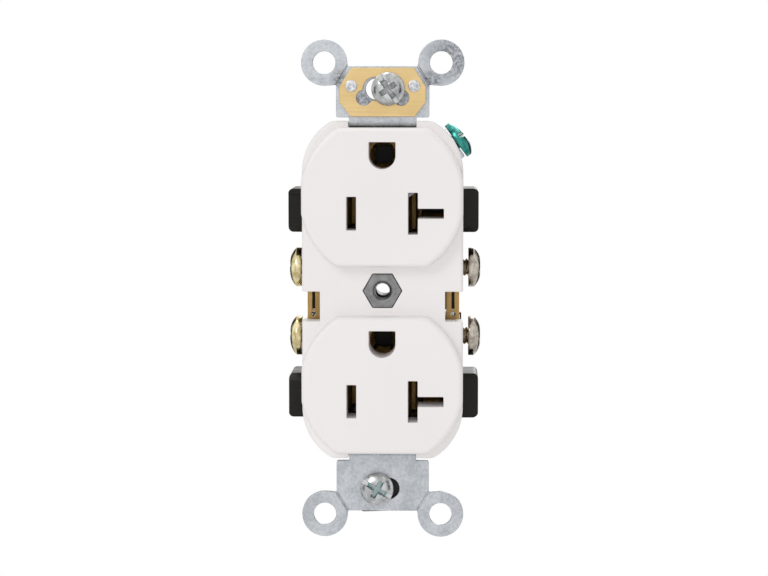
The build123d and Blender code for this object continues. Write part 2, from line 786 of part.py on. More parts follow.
def make_lower_retainer():
    outline = RectangleRounded(lower_retainer_width, lower_retainer_height, lower_retainer_corner)
    outline = Pos(0, -box_screw_z) * Rot(0, 0, lower_retainer_turn) * outline
    outline -= Pos(-box_screw_offset, -box_screw_z) * Circle(box_screw_neck_radius)
    return layer(outline, 0, retainer_thickness)


def make_upper_retainer():
    ring = Circle(upper_retainer_radius) - Circle(box_screw_neck_radius)
    return layer(Pos(box_screw_offset, box_screw_z) * ring, 0, retainer_thickness)


pieces = {
    "face_cover": make_face_cover(),
    "rear_housing": make_rear_housing(),
    "mounting_strap": make_mounting_strap(),
    "ground_clip": make_ground_clip(),
    "ground_clip_rivet_left": make_clip_rivet(-1),
    "ground_clip_rivet_right": make_clip_rivet(1),
    "hot_bus": make_bus(-1),
    "neutral_bus": make_bus(1),
    "ground_contact_upper": make_ground_contact(ground_holes[0]),
    "ground_contact_lower": make_ground_contact(ground_holes[1]),
    "ground_contact_rivets_upper": make_ground_rivets(ground_holes[0]),
    "ground_contact_rivets_lower": make_ground_rivets(ground_holes[1]),
    "centre_post": make_centre_post(),
    "mounting_screw_upper": make_box_screw(1),
    "mounting_screw_lower": make_box_screw(-1),
    "screw_retainer_upper": make_upper_retainer(),
    "screw_retainer_lower": make_lower_retainer(),
    "hot_terminal_screw_upper": make_terminal_screw(-1, terminal_rows[0]),
    "hot_terminal_screw_lower": make_terminal_screw(-1, terminal_rows[1]),
    "neutral_terminal_screw_upper": make_terminal_screw(1, terminal_rows[0]),
    "neutral_terminal_screw_lower": make_terminal_screw(1, terminal_rows[1]),
    "ground_screw": make_ground_screw(),
}
corners = [(side, z) for z in assembly_rows for side in (-1, 1)]
for number, (side, z) in enumerate(corners, start=1):
    pieces[f"assembly_screw_{number}"] = make_assembly_screw(side, z)

os.makedirs("parts", exist_ok=True)
for name, piece in pieces.items():
    export_step(piece, f"parts/{name}.step")
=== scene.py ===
import math

import bmesh
import bpy
from mathutils import Matrix, Vector


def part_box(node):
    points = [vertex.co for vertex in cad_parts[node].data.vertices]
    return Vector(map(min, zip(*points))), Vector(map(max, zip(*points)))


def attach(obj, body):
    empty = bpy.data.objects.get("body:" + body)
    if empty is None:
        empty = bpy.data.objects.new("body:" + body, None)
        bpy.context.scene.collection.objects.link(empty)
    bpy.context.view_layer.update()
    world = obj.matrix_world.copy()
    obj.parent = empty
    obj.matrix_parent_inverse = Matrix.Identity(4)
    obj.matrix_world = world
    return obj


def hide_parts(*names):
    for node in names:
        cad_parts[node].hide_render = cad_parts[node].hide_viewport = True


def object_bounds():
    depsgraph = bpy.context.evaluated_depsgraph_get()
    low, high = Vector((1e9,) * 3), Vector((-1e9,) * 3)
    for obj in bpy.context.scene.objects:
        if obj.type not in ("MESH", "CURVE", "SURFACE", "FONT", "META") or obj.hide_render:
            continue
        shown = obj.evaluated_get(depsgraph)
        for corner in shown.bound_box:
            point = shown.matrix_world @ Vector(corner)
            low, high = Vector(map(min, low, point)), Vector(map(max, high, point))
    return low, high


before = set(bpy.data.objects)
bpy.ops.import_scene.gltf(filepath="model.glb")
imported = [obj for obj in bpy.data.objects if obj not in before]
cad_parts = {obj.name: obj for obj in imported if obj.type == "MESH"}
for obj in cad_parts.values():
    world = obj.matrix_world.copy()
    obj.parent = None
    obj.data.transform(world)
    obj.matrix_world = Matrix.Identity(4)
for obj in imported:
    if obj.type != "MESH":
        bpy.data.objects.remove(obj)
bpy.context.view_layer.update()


# The face cover: one white moulding with two raised outlet faces, a recessed bridge between
# them, and slots for a straight blade, a T blade and the round pin. Its edges are softly
# rounded and its surface has the faint grain of a satin mould.

cover_edge = 0.00016
cover_white = (0.885, 0.855, 0.845, 1)
cover_shade = (0.865, 0.835, 0.826, 1)
weld_distance = 2e-6
facet_angle = math.radians(0.6)
corner_angle = math.radians(32)
coplanar_angle = math.radians(0.05)
crease_angle = math.radians(40)


def dressed(name, edge):
    """A CAD piece as one clean skin, its sharp edges rounded by edge metres."""
    skin = bmesh.new()
    skin.from_mesh(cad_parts[name].data)
    bmesh.ops.remove_doubles(skin, verts=skin.verts, dist=weld_distance)
    bmesh.ops.dissolve_limit(skin, angle_limit=facet_angle, verts=skin.verts, edges=skin.edges)
    bmesh.ops.triangulate(skin, faces=skin.faces, quad_method="BEAUTY", ngon_method="BEAUTY")
    corners = [e for e in skin.edges if e.is_manifold and e.calc_face_angle() > corner_angle]
    bmesh.ops.bevel(
        skin, geom=corners, offset=edge, segments=2, profile=0.5, affect="EDGES",
        clamp_overlap=False, loop_slide=False,
    )
    bmesh.ops.dissolve_limit(skin, angle_limit=coplanar_angle, verts=skin.verts, edges=skin.edges)
    for face in skin.faces:
        face.smooth = True
    mesh = bpy.data.meshes.new(name + "_skin")
    skin.to_mesh(mesh)
    skin.free()
    mesh.set_sharp_from_angle(angle=crease_angle)
    piece = bpy.data.objects.new(name + "_skin", mesh)
    bpy.context.scene.collection.objects.link(piece)
    weighted = piece.modifiers.new("weighted", "WEIGHTED_NORMAL")
    weighted.keep_sharp = True
    weighted.weight = 100
    return plain(piece)


def plain(piece):
    """Applies a piece's modifiers, so that it is a plain mesh with its place in its points."""
    graph = bpy.context.evaluated_depsgraph_get()
    mesh = bpy.data.meshes.new_from_object(piece.evaluated_get(graph), depsgraph=graph)
    piece.modifiers.clear()
    piece.data = mesh
    return piece


def fit(piece, material, slot, *nodes):
    """Gives a finished piece its material and its place in the frame."""
    piece.data.materials.clear()
    piece.data.materials.append(material)
    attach(piece, "root")
    if nodes:
        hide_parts(*nodes)
    return piece


def new_material(name):
    material = bpy.data.materials.new(name)
    material.use_nodes = True
    return material, material.node_tree, material.node_tree.nodes["Principled BSDF"]


def add(tree, kind, sockets=None, **settings):
    """Adds a shader node; a socket's value is a number, a colour or another node's output."""
    made = tree.nodes.new("ShaderNode" + kind)
    for key, value in settings.items():
        setattr(made, key, value)
    for key, value in (sockets or {}).items():
        if isinstance(value, bpy.types.NodeSocket):
            tree.links.new(value, made.inputs[key])
        else:
            made.inputs[key].default_value = value
    return made


def object_space(tree, scale=(1, 1, 1)):
    """Object coordinates, stretched along the axes."""
    place = add(tree, "TexCoord")
    return add(tree, "Mapping", {"Vector": place.outputs["Object"], "Scale": scale})


def noise(tree, space, scale, detail=3.0, rough=0.5):
    """A noise texture; one with a scale of 1000 has spots about a millimetre wide."""
    sockets = {"Vector": space.outputs["Vector"], "Scale": scale, "Detail": detail, "Roughness": rough}
    return add(tree, "TexNoise", sockets)


def blend_colours(tree, factor, low, high):
    """Mixes two colours by a factor."""
    mixer = add(tree, "Mix", data_type="RGBA")
    tree.links.new(factor, mixer.inputs[0])
    for socket, colour in ((6, low), (7, high)):
        if isinstance(colour, bpy.types.NodeSocket):
            tree.links.new(colour, mixer.inputs[socket])
        else:
            mixer.inputs[socket].default_value = colour
    return mixer.outputs[2]


def span(tree, value, low, high, new_low, new_high):
    """Maps a value from one range to another, without going past its ends."""
    sockets = {"Value": value, 1: low, 2: high, 3: new_low, 4: new_high}
    return add(tree, "MapRange", sockets).outputs["Result"]


def relief(tree, shader, height, distance, strength=1.0):
    """A bump of a real height in metres."""
    sockets = {"Height": height, "Distance": distance, "Strength": strength}
    bump = add(tree, "Bump", sockets)
    tree.links.new(bump.outputs["Normal"], shader.inputs["Normal"])


def moulded_white():
    material, tree, shader = new_material("moulded_white")
    space = object_space(tree)
    cloud = noise(tree, space, 35, 2)
    grain = noise(tree, space, 5200, 2)
    shade = span(tree, cloud.outputs["Fac"], 0.35, 0.65, 0, 1)
    colour = blend_colours(tree, shade, cover_shade, cover_white)
    tree.links.new(colour, shader.inputs["Base Color"])
    tree.links.new(span(tree, cloud.outputs["Fac"], 0.3, 0.7, 0.34, 0.42), shader.inputs["Roughness"])
    shader.inputs["Specular IOR Level"].default_value = 0.42
    relief(tree, shader, grain.outputs["Fac"], 0.000012, 0.6)
    return material


face_cover = dressed("face_cover", cover_edge)
fit(face_cover, moulded_white(), "cover", "face_cover")


# The rear housing: a deep black moulding that closes the back, with a bay on each side for
# the terminal screws, a gap for the snap-out tabs, and four shoulders that guard the wires.
# Glossier than the cover, with faint flow marks.

housing_edge = 0.00015
housing_black = (0.008, 0.007, 0.006, 1)
housing_worn = (0.013, 0.011, 0.010, 1)


def moulded_black():
    material, tree, shader = new_material("moulded_black")
    flow = noise(tree, object_space(tree, (1, 1, 0.25)), 260, 4)
    grain = noise(tree, object_space(tree), 4200, 2)
    shade = span(tree, flow.outputs["Fac"], 0.4, 0.7, 0, 1)
    colour = blend_colours(tree, shade, housing_black, housing_worn)
    tree.links.new(colour, shader.inputs["Base Color"])
    tree.links.new(span(tree, flow.outputs["Fac"], 0.3, 0.7, 0.26, 0.4), shader.inputs["Roughness"])
    shader.inputs["Specular IOR Level"].default_value = 0.2
    relief(tree, shader, grain.outputs["Fac"], 0.00001, 0.5)
    return material


rear_housing = dressed("rear_housing", housing_edge)
fit(rear_housing, moulded_black(), "housing", "rear_housing")


# The mounting strap: one steel blank, zinc plated, stepped back behind the end plates, with
# four snap-off ears and an arm bent back for the ground screw. The plating is blue-grey and
# cloudy, with fine rolling lines, and it is rubbed dark at some ears and round the upper screw.

strap_edge = 0.00012
zinc_light = (0.60, 0.625, 0.65, 1)
zinc_dark = (0.42, 0.445, 0.475, 1)
zinc_worn = (0.22, 0.235, 0.26, 1)
worn_spots = (
    ((0.0142, -0.0013, 0.0482), 0.0062),
    ((0.0102, -0.0013, 0.0437), 0.0028),
    ((-0.0088, -0.0013, 0.0437), 0.0026),
    ((-0.0037, -0.0013, 0.0394), 0.0034),
    ((0.0040, -0.0013, 0.0393), 0.0034),
)
worn_middle = 0.4


def zinc_plate():
    material, tree, shader = new_material("zinc_plate")
    space = object_space(tree)
    cloud = noise(tree, space, 300, 6, 0.6)
    speck = noise(tree, space, 1500, 5, 0.7)
    lines = noise(tree, object_space(tree, (1, 1, 9)), 900, 2)
    mottle = add(tree, "Math", {0: cloud.outputs["Fac"], 1: speck.outputs["Fac"]}, operation="ADD")
    colour = blend_colours(tree, span(tree, mottle.outputs[0], 0.8, 1.15, 0, 1), zinc_dark, zinc_light)
    wear = 0.0
    for centre, radius in worn_spots:
        away = add(tree, "VectorMath", {0: space.outputs["Vector"], 1: centre}, operation="DISTANCE")
        near = span(tree, away.outputs["Value"], worn_middle * radius, radius, 1, 0)
        wear = add(tree, "Math", {0: near, 1: wear}, operation="MAXIMUM").outputs[0]
    rubbed = span(tree, speck.outputs["Fac"], 0.42, 0.56, 0.1, 1)
    rubbed = add(tree, "Math", {0: rubbed, 1: wear}, operation="MULTIPLY").outputs[0]
    colour = blend_colours(tree, rubbed, colour, zinc_worn)
    tree.links.new(colour, shader.inputs["Base Color"])
    shader.inputs["Metallic"].default_value = 1.0
    tree.links.new(span(tree, cloud.outputs["Fac"], 0.3, 0.7, 0.36, 0.56), shader.inputs["Roughness"])
    height = add(tree, "Math", {0: cloud.outputs["Fac"], 1: lines.outputs["Fac"]}, operation="ADD")
    relief(tree, shader, height.outputs[0], 0.00003, 0.5)
    return material


mounting_strap = dressed("mounting_strap", strap_edge)
fit(mounting_strap, zinc_plate(), "strap", "mounting_strap")


# The grounding clip: thin brass sheet on the upper end plate, brushed along its length, with
# a shaped opening round the box screw. Two steel rivets with dimpled heads hold it.

clip_edge = 0.00008
clip_brass = (0.78, 0.58, 0.29, 1)
clip_brass_dark = (0.70, 0.50, 0.23, 1)
rivet_edge = 0.00005
bright_steel = (0.80, 0.81, 0.83, 1)
bright_steel_dark = (0.44, 0.45, 0.47, 1)


def brushed(name, light, dark, along, roughness, fine=2600.0, metallic=1.0):
    """Metal sheet brushed along one axis: long thin streaks in colour, gloss and height."""
    material, tree, shader = new_material(name)
    stretch = [1.0, 1.0, 1.0]
    stretch[along] = 0.04
    streaks = noise(tree, object_space(tree, stretch), fine, 3)
    cloud = noise(tree, object_space(tree), 240, 3)
    mixed = add(tree, "Math", {0: streaks.outputs["Fac"], 1: cloud.outputs["Fac"]}, operation="ADD")
    colour = blend_colours(tree, span(tree, mixed.outputs[0], 0.75, 1.25, 0, 1), dark, light)
    tree.links.new(colour, shader.inputs["Base Color"])
    shader.inputs["Metallic"].default_value = metallic
    low, high = roughness
    tree.links.new(span(tree, mixed.outputs[0], 0.7, 1.3, low, high), shader.inputs["Roughness"])
    relief(tree, shader, streaks.outputs["Fac"], 0.000015, 0.6)
    return material


ground_clip = dressed("ground_clip", clip_edge)
brushed_brass = brushed("brushed_brass", clip_brass, clip_brass_dark, 0, (0.26, 0.4))
fit(ground_clip, brushed_brass, "clip", "ground_clip")


def plated(name, light, dark, roughness, dent=0.00004, cloud_scale=620):
    """Bright plating on a small formed fastener, with soft dents and cloudy gloss."""
    material, tree, shader = new_material(name)
    space = object_space(tree)
    cloud = noise(tree, space, cloud_scale, 4)
    dents = noise(tree, space, 1400, 3)
    colour = blend_colours(tree, span(tree, cloud.outputs["Fac"], 0.35, 0.65, 0, 1), dark, light)
    tree.links.new(colour, shader.inputs["Base Color"])
    shader.inputs["Metallic"].default_value = 1.0
    low, high = roughness
    tree.links.new(span(tree, cloud.outputs["Fac"], 0.3, 0.7, low, high), shader.inputs["Roughness"])
    relief(tree, shader, dents.outputs["Fac"], dent, 0.6)
    return material


bright_plating = plated("bright_plating", bright_steel, bright_steel_dark, (0.18, 0.32), 0.00009, 1500)
for side in ("left", "right"):
    name = "ground_clip_rivet_" + side
    fit(dressed(name, rivet_edge), bright_plating, "steel_fastener", name)


# The buses: one folded brass strip on each side, which joins two blade contacts, two
# terminal plates and a tab that can be snapped out. Plain mill brass, a little tarnished.

bus_edge = 0.00008
bus_brass = (0.58, 0.38, 0.14, 1)
bus_brass_dark = (0.36, 0.22, 0.07, 1)
strip_brass = brushed("strip_brass", bus_brass, bus_brass_dark, 2, (0.32, 0.5), 1800.0, 0.8)
for name in ("hot_bus", "neutral_bus"):
    fit(dressed(name, bus_edge), strip_brass, "contact", name)


# The ground contacts: a waisted brass tube behind each round hole, split into fingers, with
# a flange that two small steel rivets fix to the strap.

contact_edge = 0.00006
tarnish = (0.46, 0.29, 0.11, 1)
tarnish_dark = (0.3, 0.18, 0.06, 1)
tarnished_brass = brushed("tarnished_brass", tarnish, tarnish_dark, 1, (0.45, 0.6), 1500.0, 0.6)
for level in ("upper", "lower"):
    name = "ground_contact_" + level
    fit(dressed(name, contact_edge), tarnished_brass, "contact", name)
    name = "ground_contact_rivets_" + level
    fit(dressed(name, contact_edge), bright_plating, "steel_fastener", name)


# The centre post: a hexagonal nut staked to the strap, for the wall plate's screw. Dull
# plated steel, with a cut thread in its bore.

post_edge = 0.00012
post_grey = (0.31, 0.31, 0.315, 1)
post_grey_dark = (0.19, 0.19, 0.193, 1)
thread_pitch = 0.000794
bore_radius = 0.00175
bore_ridge = 0.0003
bore_sleeve = 0.0018
bore_start = 0.0005
bore_end = 0.0001
thread_facets = 33
rows_each_turn = 10
thread_weld = 1e-7
thread_crease = math.radians(50)


def thread_tree():
    """Geometry Nodes: a grid rolled into a bar or a sleeve with a turning V thread.

    With Sleeve above zero the grid folds back on itself, out along that radius and back along
    the thread, and so makes a closed tube.
    """
    tree = bpy.data.node_groups.new("rolled_thread", "GeometryNodeTree")
    face = tree.interface
    for name, kind, value in (
        ("Radius", "NodeSocketFloat", 0.0017), ("Depth", "NodeSocketFloat", 0.0004),
        ("Pitch", "NodeSocketFloat", 0.0008), ("Length", "NodeSocketFloat", 0.01),
        ("Sleeve", "NodeSocketFloat", 0.0),
        ("Around", "NodeSocketInt", thread_facets), ("Rows", "NodeSocketInt", 100),
        ("Material", "NodeSocketMaterial", None),
    ):
        socket = face.new_socket(name, in_out="INPUT", socket_type=kind)
        if value is not None:
            socket.default_value = value
    face.new_socket("Geometry", in_out="OUTPUT", socket_type="NodeSocketGeometry")
    given = tree.nodes.new("NodeGroupInput").outputs

    def value(socket, target):
        if isinstance(socket, bpy.types.NodeSocket):
            tree.links.new(socket, target)
        else:
            target.default_value = socket

    def maths(operation, first, second=0.0):
        made = tree.nodes.new("ShaderNodeMath")
        made.operation = operation
        value(first, made.inputs[0])
        value(second, made.inputs[1])
        return made.outputs[0]

    grid = tree.nodes.new("GeometryNodeMeshGrid")
    value(given["Around"], grid.inputs["Vertices X"])
    value(given["Rows"], grid.inputs["Vertices Y"])
    apart = tree.nodes.new("ShaderNodeSeparateXYZ")
    value(tree.nodes.new("GeometryNodeInputPosition").outputs[0], apart.inputs[0])
    around = maths("ADD", apart.outputs[0], 0.5)
    along = maths("ADD", apart.outputs[1], 0.5)
    sleeve = maths("GREATER_THAN", given["Sleeve"], 0.0)
    bar = maths("SUBTRACT", 1.0, sleeve)
    away = maths("ABSOLUTE", maths("SUBTRACT", maths("MULTIPLY", along, 2.0), 1.0))
    fold = maths("SUBTRACT", 1.0, away)
    share = maths("ADD", maths("MULTIPLY", along, bar), maths("MULTIPLY", fold, sleeve))
    depth = maths("MULTIPLY", share, given["Length"])
    turn = maths("FRACT", maths("SUBTRACT", maths("DIVIDE", depth, given["Pitch"]), around))
    ridge = maths("ABSOLUTE", maths("SUBTRACT", maths("MULTIPLY", turn, 2.0), 1.0))
    root = maths("SUBTRACT", given["Radius"], given["Depth"])
    radius = maths("ADD", root, maths("MULTIPLY", ridge, given["Depth"]))
    left = maths("ADD", maths("SUBTRACT", given["Length"], depth), sleeve)
    radius = maths("MINIMUM", radius, maths("ADD", maths("MULTIPLY", root, 0.8), left))
    begun = maths("GREATER_THAN", along, 0.0001)
    inside = maths("MULTIPLY", begun, maths("LESS_THAN", along, 0.9999))
    radius = maths("MULTIPLY", radius, maths("MAXIMUM", inside, sleeve))
    outward = maths("MULTIPLY", maths("MULTIPLY", begun, maths("LESS_THAN", along, 0.5001)), sleeve)
    radius = maths("MULTIPLY", radius, maths("SUBTRACT", 1.0, outward))
    radius = maths("ADD", radius, maths("MULTIPLY", given["Sleeve"], outward))
    angle = maths("MULTIPLY", around, 2 * math.pi)
    place = tree.nodes.new("ShaderNodeCombineXYZ")
    value(maths("MULTIPLY", radius, maths("COSINE", angle)), place.inputs[0])
    value(maths("MULTIPLY", radius, maths("SINE", angle)), place.inputs[1])
    value(maths("MULTIPLY", depth, -1.0), place.inputs[2])
    move = tree.nodes.new("GeometryNodeSetPosition")
    value(grid.outputs["Mesh"], move.inputs["Geometry"])
    value(place.outputs[0], move.inputs["Position"])
    merge = tree.nodes.new("GeometryNodeMergeByDistance")
    value(move.outputs[0], merge.inputs["Geometry"])
    merge.inputs["Distance"].default_value = thread_weld
    outside = tree.nodes.new("GeometryNodeFlipFaces")
    value(merge.outputs[0], outside.inputs["Mesh"])
    real = tree.nodes.new("GeometryNodeRealizeInstances")
    value(outside.outputs[0], real.inputs["Geometry"])
    paint = tree.nodes.new("GeometryNodeSetMaterial")
    value(real.outputs[0], paint.inputs["Geometry"])
    value(given["Material"], paint.inputs["Material"])
    value(paint.outputs[0], tree.nodes.new("NodeGroupOutput").inputs["Geometry"])
    return tree


rolled_thread = thread_tree()


def rolled(radius, length, material, depth, sleeve=0.0):
    """A threaded bar or sleeve from the tree, along -Z from the origin, as a plain mesh."""
    bar = bpy.data.objects.new("thread", bpy.data.meshes.new("thread"))
    bpy.context.scene.collection.objects.link(bar)
    nodes = bar.modifiers.new("thread", "NODES")
    nodes.node_group = rolled_thread
    rows = int(rows_each_turn * length / thread_pitch)
    given = {
        "Radius": radius, "Depth": depth, "Pitch": thread_pitch, "Length": length, "Sleeve": sleeve,
        "Around": thread_facets, "Rows": 2 * rows + 1 if sleeve else rows, "Material": material,
    }
    for item in rolled_thread.interface.items_tree:
        if item.item_type == "SOCKET" and item.in_out == "INPUT":
            nodes[item.identifier] = given[item.name]
    return plain(bar)


def joined(piece, bar, start, direction):
    """Lays the bar from start, against direction, and makes one mesh of it and the piece."""
    turn = Vector((0, 0, 1)).rotation_difference(direction).to_matrix().to_4x4()
    bar.data.transform(Matrix.Translation(start) @ turn)
    whole = bmesh.new()
    whole.from_mesh(piece.data)
    whole.from_mesh(bar.data)
    for part in whole.faces:
        part.material_index = 0
        part.smooth = True
    mesh = bpy.data.meshes.new(piece.name)
    whole.to_mesh(mesh)
    whole.free()
    mesh.set_sharp_from_angle(angle=thread_crease)
    piece.data = mesh
    bpy.data.objects.remove(bar)


dull_steel = plated("dull_steel", post_grey, post_grey_dark, (0.38, 0.55))
centre_post = dressed("centre_post", post_edge)
post_low, post_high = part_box("centre_post")
tap_front = Vector((0, post_low.y + bore_start, 0))
tap_length = post_high.y - bore_end - tap_front.y
tapping = rolled(bore_radius, tap_length, dull_steel, bore_ridge, bore_sleeve)
joined(centre_post, tapping, tap_front, Vector((0, -1, 0)))
fit(centre_post, dull_steel, "post", "centre_post")


# The box screws: captive machine screws with a pan head and a slot crossed by a Phillips
# recess. Bright zinc over steel with a blue cast; the recess is darkened with painted shade,
# with a teal tint on the lower screw. Black fibre washers keep them in place.

screw_edge = 0.00008
screw_zinc = (0.62, 0.63, 0.63, 1)
screw_zinc_dark = (0.34, 0.35, 0.355, 1)
# Painted shade for the recesses: grey on the upper screw; on the lower one, a teal tint that the
# plating has, darkened by painted shade.
teal_tint_and_painted_recess_shade = (0.10, 0.26, 0.26, 1)
grey_painted_recess_shade = (0.09, 0.095, 0.1, 1)
recess_radius = 0.0021
recess_floor = 0.0016
recess_rim = (0.00035, 0.0006)
recess_blur = 1.1
thread_depth = 0.00042
shank_share = 0.98
tip_drawn_in = 0.0004
fibre_edge = 0.00008
fibre_black = (0.012, 0.012, 0.013, 1)
fibre_grey = (0.025, 0.025, 0.026, 1)


def threaded_screw(name, seat, direction, radius, edge, material, slot, neck=0.0):
    """The CAD screw's head, neck and slimmed shank in one skin with a rolled thread round it."""
    direction = Vector(direction).normalized()
    seat = Vector(seat)
    piece = dressed(name, edge)
    slim = (radius - thread_depth) / radius * shank_share
    tip = 0.0
    for vertex in piece.data.vertices:
        out = (vertex.co - seat).dot(direction)
        axis = seat + direction * out
        arm = vertex.co - axis
        tip = min(tip, out)
        if out < edge * 1.2 - neck and arm.length < radius + 1.5 * edge:
            vertex.co = axis + arm * slim
    bar = rolled(radius, -tip - neck, material, thread_depth)
    for vertex in piece.data.vertices:
        out = (vertex.co - seat).dot(direction)
        if out < 0.6 * tip:
            vertex.co += direction * tip_drawn_in
    joined(piece, bar, seat - neck * direction, direction)
    return fit(piece, material, slot, name)


def zinc_with_painted_recess_shade(name, front, recess_shade_and_tint):
    """Zinc plating with painted shade in the recess round a point at the middle of the head's front."""
    material = plated(name, screw_zinc, screw_zinc_dark, (0.18, 0.32), 0.00006)
    tree = material.node_tree
    shader = tree.nodes["Principled BSDF"]
    plating = shader.inputs["Base Color"].links[0].from_socket
    space = object_space(tree)
    # Painted shade: the recess is darkened by how deep and how near the middle it is, in place of the
    # shade that falls into it, broken up by noise.
    apart = add(tree, "SeparateXYZ", {"Vector": space.outputs["Vector"]})
    level = add(tree, "CombineXYZ", {"X": apart.outputs["X"], "Y": front[1], "Z": apart.outputs["Z"]})
    away = add(tree, "VectorMath", {0: level.outputs[0], 1: front}, operation="DISTANCE")
    near = span(tree, away.outputs["Value"], recess_radius, recess_blur * recess_radius, 1, 0)
    rim, low = recess_rim
    sunk = span(tree, apart.outputs["Y"], front[1] + rim, front[1] + low, 0, 1)
    floor = front[1] + recess_floor
    above = span(tree, apart.outputs["Y"], floor, front[1] + recess_blur * recess_floor, 1, 0)
    fleck = span(tree, noise(tree, space, 2400, 3).outputs["Fac"], 0.4, 0.6, 0.45, 1)
    depth = add(tree, "Math", {0: near, 1: sunk}, operation="MULTIPLY").outputs[0]
    depth = add(tree, "Math", {0: depth, 1: above}, operation="MULTIPLY").outputs[0]
    recess_shade_amount = add(tree, "Math", {0: depth, 1: fleck}, operation="MULTIPLY").outputs[0]
    tree.links.new(blend_colours(tree, recess_shade_amount, plating, recess_shade_and_tint), shader.inputs["Base Color"])
    return material


def fibre():
    material, tree, shader = new_material("black_fibre")
    fleck = noise(tree, object_space(tree), 1500, 4)
    colour = blend_colours(tree, fleck.outputs["Fac"], fibre_black, fibre_grey)
    tree.links.new(colour, shader.inputs["Base Color"])
    tree.links.new(span(tree, fleck.outputs["Fac"], 0.3, 0.7, 0.6, 0.8), shader.inputs["Roughness"])
    relief(tree, shader, fleck.outputs["Fac"], 0.00003, 0.6)
    return material


def screw_axis(name, along):
    """Middle of a screw's box across its axis, in metres."""
    low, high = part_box(name)
    middle = (low + high) / 2
    middle[along] = 0
    return middle


box_screw_radius = 0.0017
box_thread_start = 0.0015
for level, face, recess_shade_and_tint in (("upper", 0, grey_painted_recess_shade), ("lower", 1, teal_tint_and_painted_recess_shade)):
    name = "mounting_screw_" + level
    seat = screw_axis(name, 1)
    seat.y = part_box(name)[0].y
    finish = zinc_with_painted_recess_shade("zinc_screw_" + level, list(seat), recess_shade_and_tint)
    seat.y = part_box("ground_clip")[face].y
    threaded_screw(
        name, seat, (0, -1, 0), box_screw_radius, screw_edge, finish, "steel_fastener",
        box_thread_start - seat.y,
    )
black_fibre = fibre()
for level in ("upper", "lower"):
    name = "screw_retainer_" + level
    fit(dressed(name, fibre_edge), black_fibre, "retainer", name)


# The terminal screws: two brass ones on the hot side and two nickel-plated ones on the
# neutral side, backed out a little, threaded into the buses' terminal plates.

terminal_radius = 0.0019
screw_brass = (0.90, 0.80, 0.50, 1)
screw_brass_dark = (0.52, 0.43, 0.20, 1)
nickel = (0.60, 0.545, 0.47, 1)
nickel_dark = (0.29, 0.255, 0.215, 1)
brass_plating = plated("brass_plating", screw_brass, screw_brass_dark, (0.12, 0.24), 0.00006)
nickel_plating = plated("nickel_plating", nickel, nickel_dark, (0.12, 0.26), 0.00009, 900)
terminal_standoff = {"hot": 0.0013, "neutral": 0.0018}
for side, sign, finish, slot in (
    ("hot", -1, brass_plating, "brass_screw"), ("neutral", 1, nickel_plating, "nickel_screw"),
):
    bus_low, bus_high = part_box(side + "_bus")
    face = bus_high.x if sign > 0 else bus_low.x
    for level in ("upper", "lower"):
        name = f"{side}_terminal_screw_{level}"
        seat = screw_axis(name, 0)
        seat.x = face + sign * terminal_standoff[side]
        threaded_screw(name, seat, (sign, 0, 0), terminal_radius, screw_edge, finish, slot)


# The ground screw: a green screw in the strap's bent tab at the upper right corner. Its
# dyed plating is glossy teal over steel.

green = (0.07, 0.36, 0.31, 1)
green_dark = (0.01, 0.17, 0.15, 1)
green_plating = plated("green_plating", green, green_dark, (0.12, 0.26), 0.0001)
ground_tilt = math.radians(36.5)
ground_way = Vector((math.cos(ground_tilt), 0, math.sin(ground_tilt)))
ground_arm_root = Vector((0, 0.0082, 0.01945))
ground_reach = 0.0189
ground_seat = ground_arm_root + ground_reach * ground_way
threaded_screw(
    "ground_screw", ground_seat, ground_way, terminal_radius, screw_edge, green_plating, "green_screw"
)


# The assembly screws: four long steel screws, sunk in the back of the housing, that hold it
# to bosses inside the face cover.

assembly_radius = 0.00145
assembly_seat = 0.0178
for number in range(1, 5):
    name = f"assembly_screw_{number}"
    seat = screw_axis(name, 1)
    seat.y = assembly_seat
    threaded_screw(name, seat, (0, 1, 0), assembly_radius, screw_edge, bright_plating, "steel_fastener")


# The studio: a pale floor below the part, white beyond, a lamp beside the camera that reaches
# into the slots, a soft key lamp at the upper left, and weaker lamps above and behind. Five
# black cards, seen in reflections only, give the bright screw heads their dark sides.

floor_drop = 0.09
floor_size = 1.1
floor_white = (0.86, 0.86, 0.86, 1)
floor_fleck = (0.9, 0.9, 0.9, 1)
floor_glow = 0.4
white = (1, 1, 1, 1)
fill_strength = 0.62
card_black = (0.01, 0.01, 0.01, 1)
card_nap = (0.03, 0.03, 0.03, 1)
cards = (
    ("card_low", (0.12, -0.4, -0.4), 0.5, 0.22),
    ("card_right", (0.5, -0.35, 0.05), 0.2, 0.6),
    ("card_left", (-0.5, -0.2, -0.1), 0.16, 0.5),
    ("card_behind", (0.32, 0.43, 0), 0.3, 0.7),
    ("card_behind", (-0.32, 0.43, 0), 0.3, 0.7),
)
lamps = (
    ("front", (0.02, -0.6, 0.06), 0.1, 0.4, False),
    ("key", (-0.45, -0.75, 0.55), 0.45, 2.0, True),
    ("top", (-0.1, 0.1, 0.9), 0.16, 1.3, True),
    ("back", (0.3, 0.8, 0.4), 0.6, 2.5, True),
)


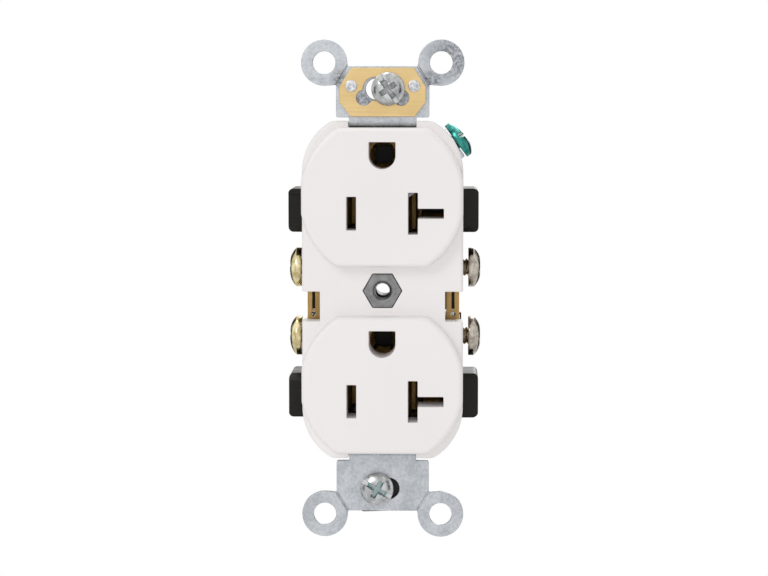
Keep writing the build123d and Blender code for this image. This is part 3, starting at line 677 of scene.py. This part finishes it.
def make_floor():
    low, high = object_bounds()
    half = floor_size / 2
    level = low.z - floor_drop
    mesh = bpy.data.meshes.new("floor")
    back = half / 2
    corners = [(-half, -half, level), (half, -half, level), (half, back, level), (-half, back, level)]
    mesh.from_pydata(corners, [], [(0, 1, 2, 3)])
    floor = bpy.data.objects.new("floor", mesh)
    bpy.context.scene.collection.objects.link(floor)
    material, tree, shader = new_material("floor_paper")
    grain = noise(tree, object_space(tree), 900, 3)
    colour = blend_colours(tree, grain.outputs["Fac"], floor_white, floor_fleck)
    tree.links.new(colour, shader.inputs["Base Color"])
    shader.inputs["Roughness"].default_value = 0.8
    glow = add(tree, "Emission", {"Color": white, "Strength": floor_glow})
    lit = add(tree, "AddShader")
    tree.links.new(shader.outputs[0], lit.inputs[0])
    tree.links.new(glow.outputs[0], lit.inputs[1])
    path = add(tree, "LightPath")
    choose = add(tree, "MixShader", {"Fac": path.outputs["Is Camera Ray"]})
    tree.links.new(shader.outputs[0], choose.inputs[1])
    tree.links.new(lit.outputs[0], choose.inputs[2])
    tree.links.new(choose.outputs[0], tree.nodes["Material Output"].inputs["Surface"])
    mesh.materials.append(material)


def make_world():
    """White for what the camera, gloss and glass see, and a plain fill for everything else."""
    world = bpy.data.worlds.new("studio")
    world.use_nodes = True
    tree = world.node_tree
    fill = tree.nodes["Background"]
    fill.inputs["Color"].default_value = white
    fill.inputs["Strength"].default_value = fill_strength
    clear = add(tree, "Background", {"Color": white, "Strength": 1.0})
    path = add(tree, "LightPath").outputs
    seen = path["Is Camera Ray"]
    for ray in ("Is Glossy Ray", "Is Transmission Ray"):
        seen = add(tree, "Math", {0: seen, 1: path[ray]}, operation="MAXIMUM").outputs[0]
    choose = add(tree, "MixShader", {"Fac": seen})
    tree.links.new(fill.outputs[0], choose.inputs[1])
    tree.links.new(clear.outputs[0], choose.inputs[2])
    tree.links.new(choose.outputs[0], tree.nodes["World Output"].inputs["Surface"])
    bpy.context.scene.world = world


def lamp(name, place, size, power, glossy):
    """A square soft lamp that points at the part; glossy says whether reflections show it."""
    light = bpy.data.lights.new(name, "AREA")
    light.size = size
    light.energy = power
    holder = bpy.data.objects.new(name, light)
    holder.location = place
    holder.rotation_euler = (-Vector(place)).to_track_quat("-Z", "Y").to_euler()
    holder.visible_glossy = glossy
    bpy.context.scene.collection.objects.link(holder)


def black_card(name, place, width, height):
    """A dark card that faces the part and shows only in its reflections."""
    across, along = width / 2, height / 2
    mesh = bpy.data.meshes.new(name)
    corners = [(-across, -along, 0), (across, -along, 0), (across, along, 0), (-across, along, 0)]
    mesh.from_pydata(corners, [], [(0, 1, 2, 3)])
    card = bpy.data.objects.new(name, mesh)
    card.location = place
    card.rotation_euler = (-Vector(place)).to_track_quat("Z", "Y").to_euler()
    bpy.context.scene.collection.objects.link(card)
    material, tree, shader = new_material(name)
    nap = noise(tree, object_space(tree), 400, 2)
    colour = blend_colours(tree, nap.outputs["Fac"], card_black, card_nap)
    tree.links.new(colour, shader.inputs["Base Color"])
    shader.inputs["Roughness"].default_value = 0.9
    mesh.materials.append(material)
    card.visible_camera = False
    card.visible_diffuse = False
    card.visible_shadow = False


make_floor()
make_world()
for card in cards:
    black_card(*card)
for light in lamps:
    lamp(*light)


# The camera stands about where the photograph was taken from: half a metre in front, a
# little above the part and a little to its right.

photo_width, photo_height = 768, 576
part_at = (382.0, 292.2)
lens_pixels = 2333.0
view_distance = 0.480
view_above = math.radians(4.8)
view_right = math.radians(1.5)


def make_camera():
    target = Vector((0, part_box("face_cover")[0].y, 0))
    away = Vector((
        math.sin(view_right) * math.cos(view_above), -math.cos(view_right) * math.cos(view_above),
        math.sin(view_above),
    ))
    data = bpy.data.cameras.new("photograph")
    data.sensor_width = 36.0
    data.lens = lens_pixels / photo_width * data.sensor_width
    data.shift_x = (photo_width / 2 - part_at[0]) / photo_width
    data.shift_y = (part_at[1] - photo_height / 2) / photo_width
    camera = bpy.data.objects.new("photograph", data)
    camera.location = target + away * view_distance
    camera.rotation_euler = (-away).to_track_quat("-Z", "Y").to_euler()
    bpy.context.scene.collection.objects.link(camera)
    bpy.context.scene.camera = camera


make_camera()
bpy.context.scene.view_settings.view_transform = "Standard"
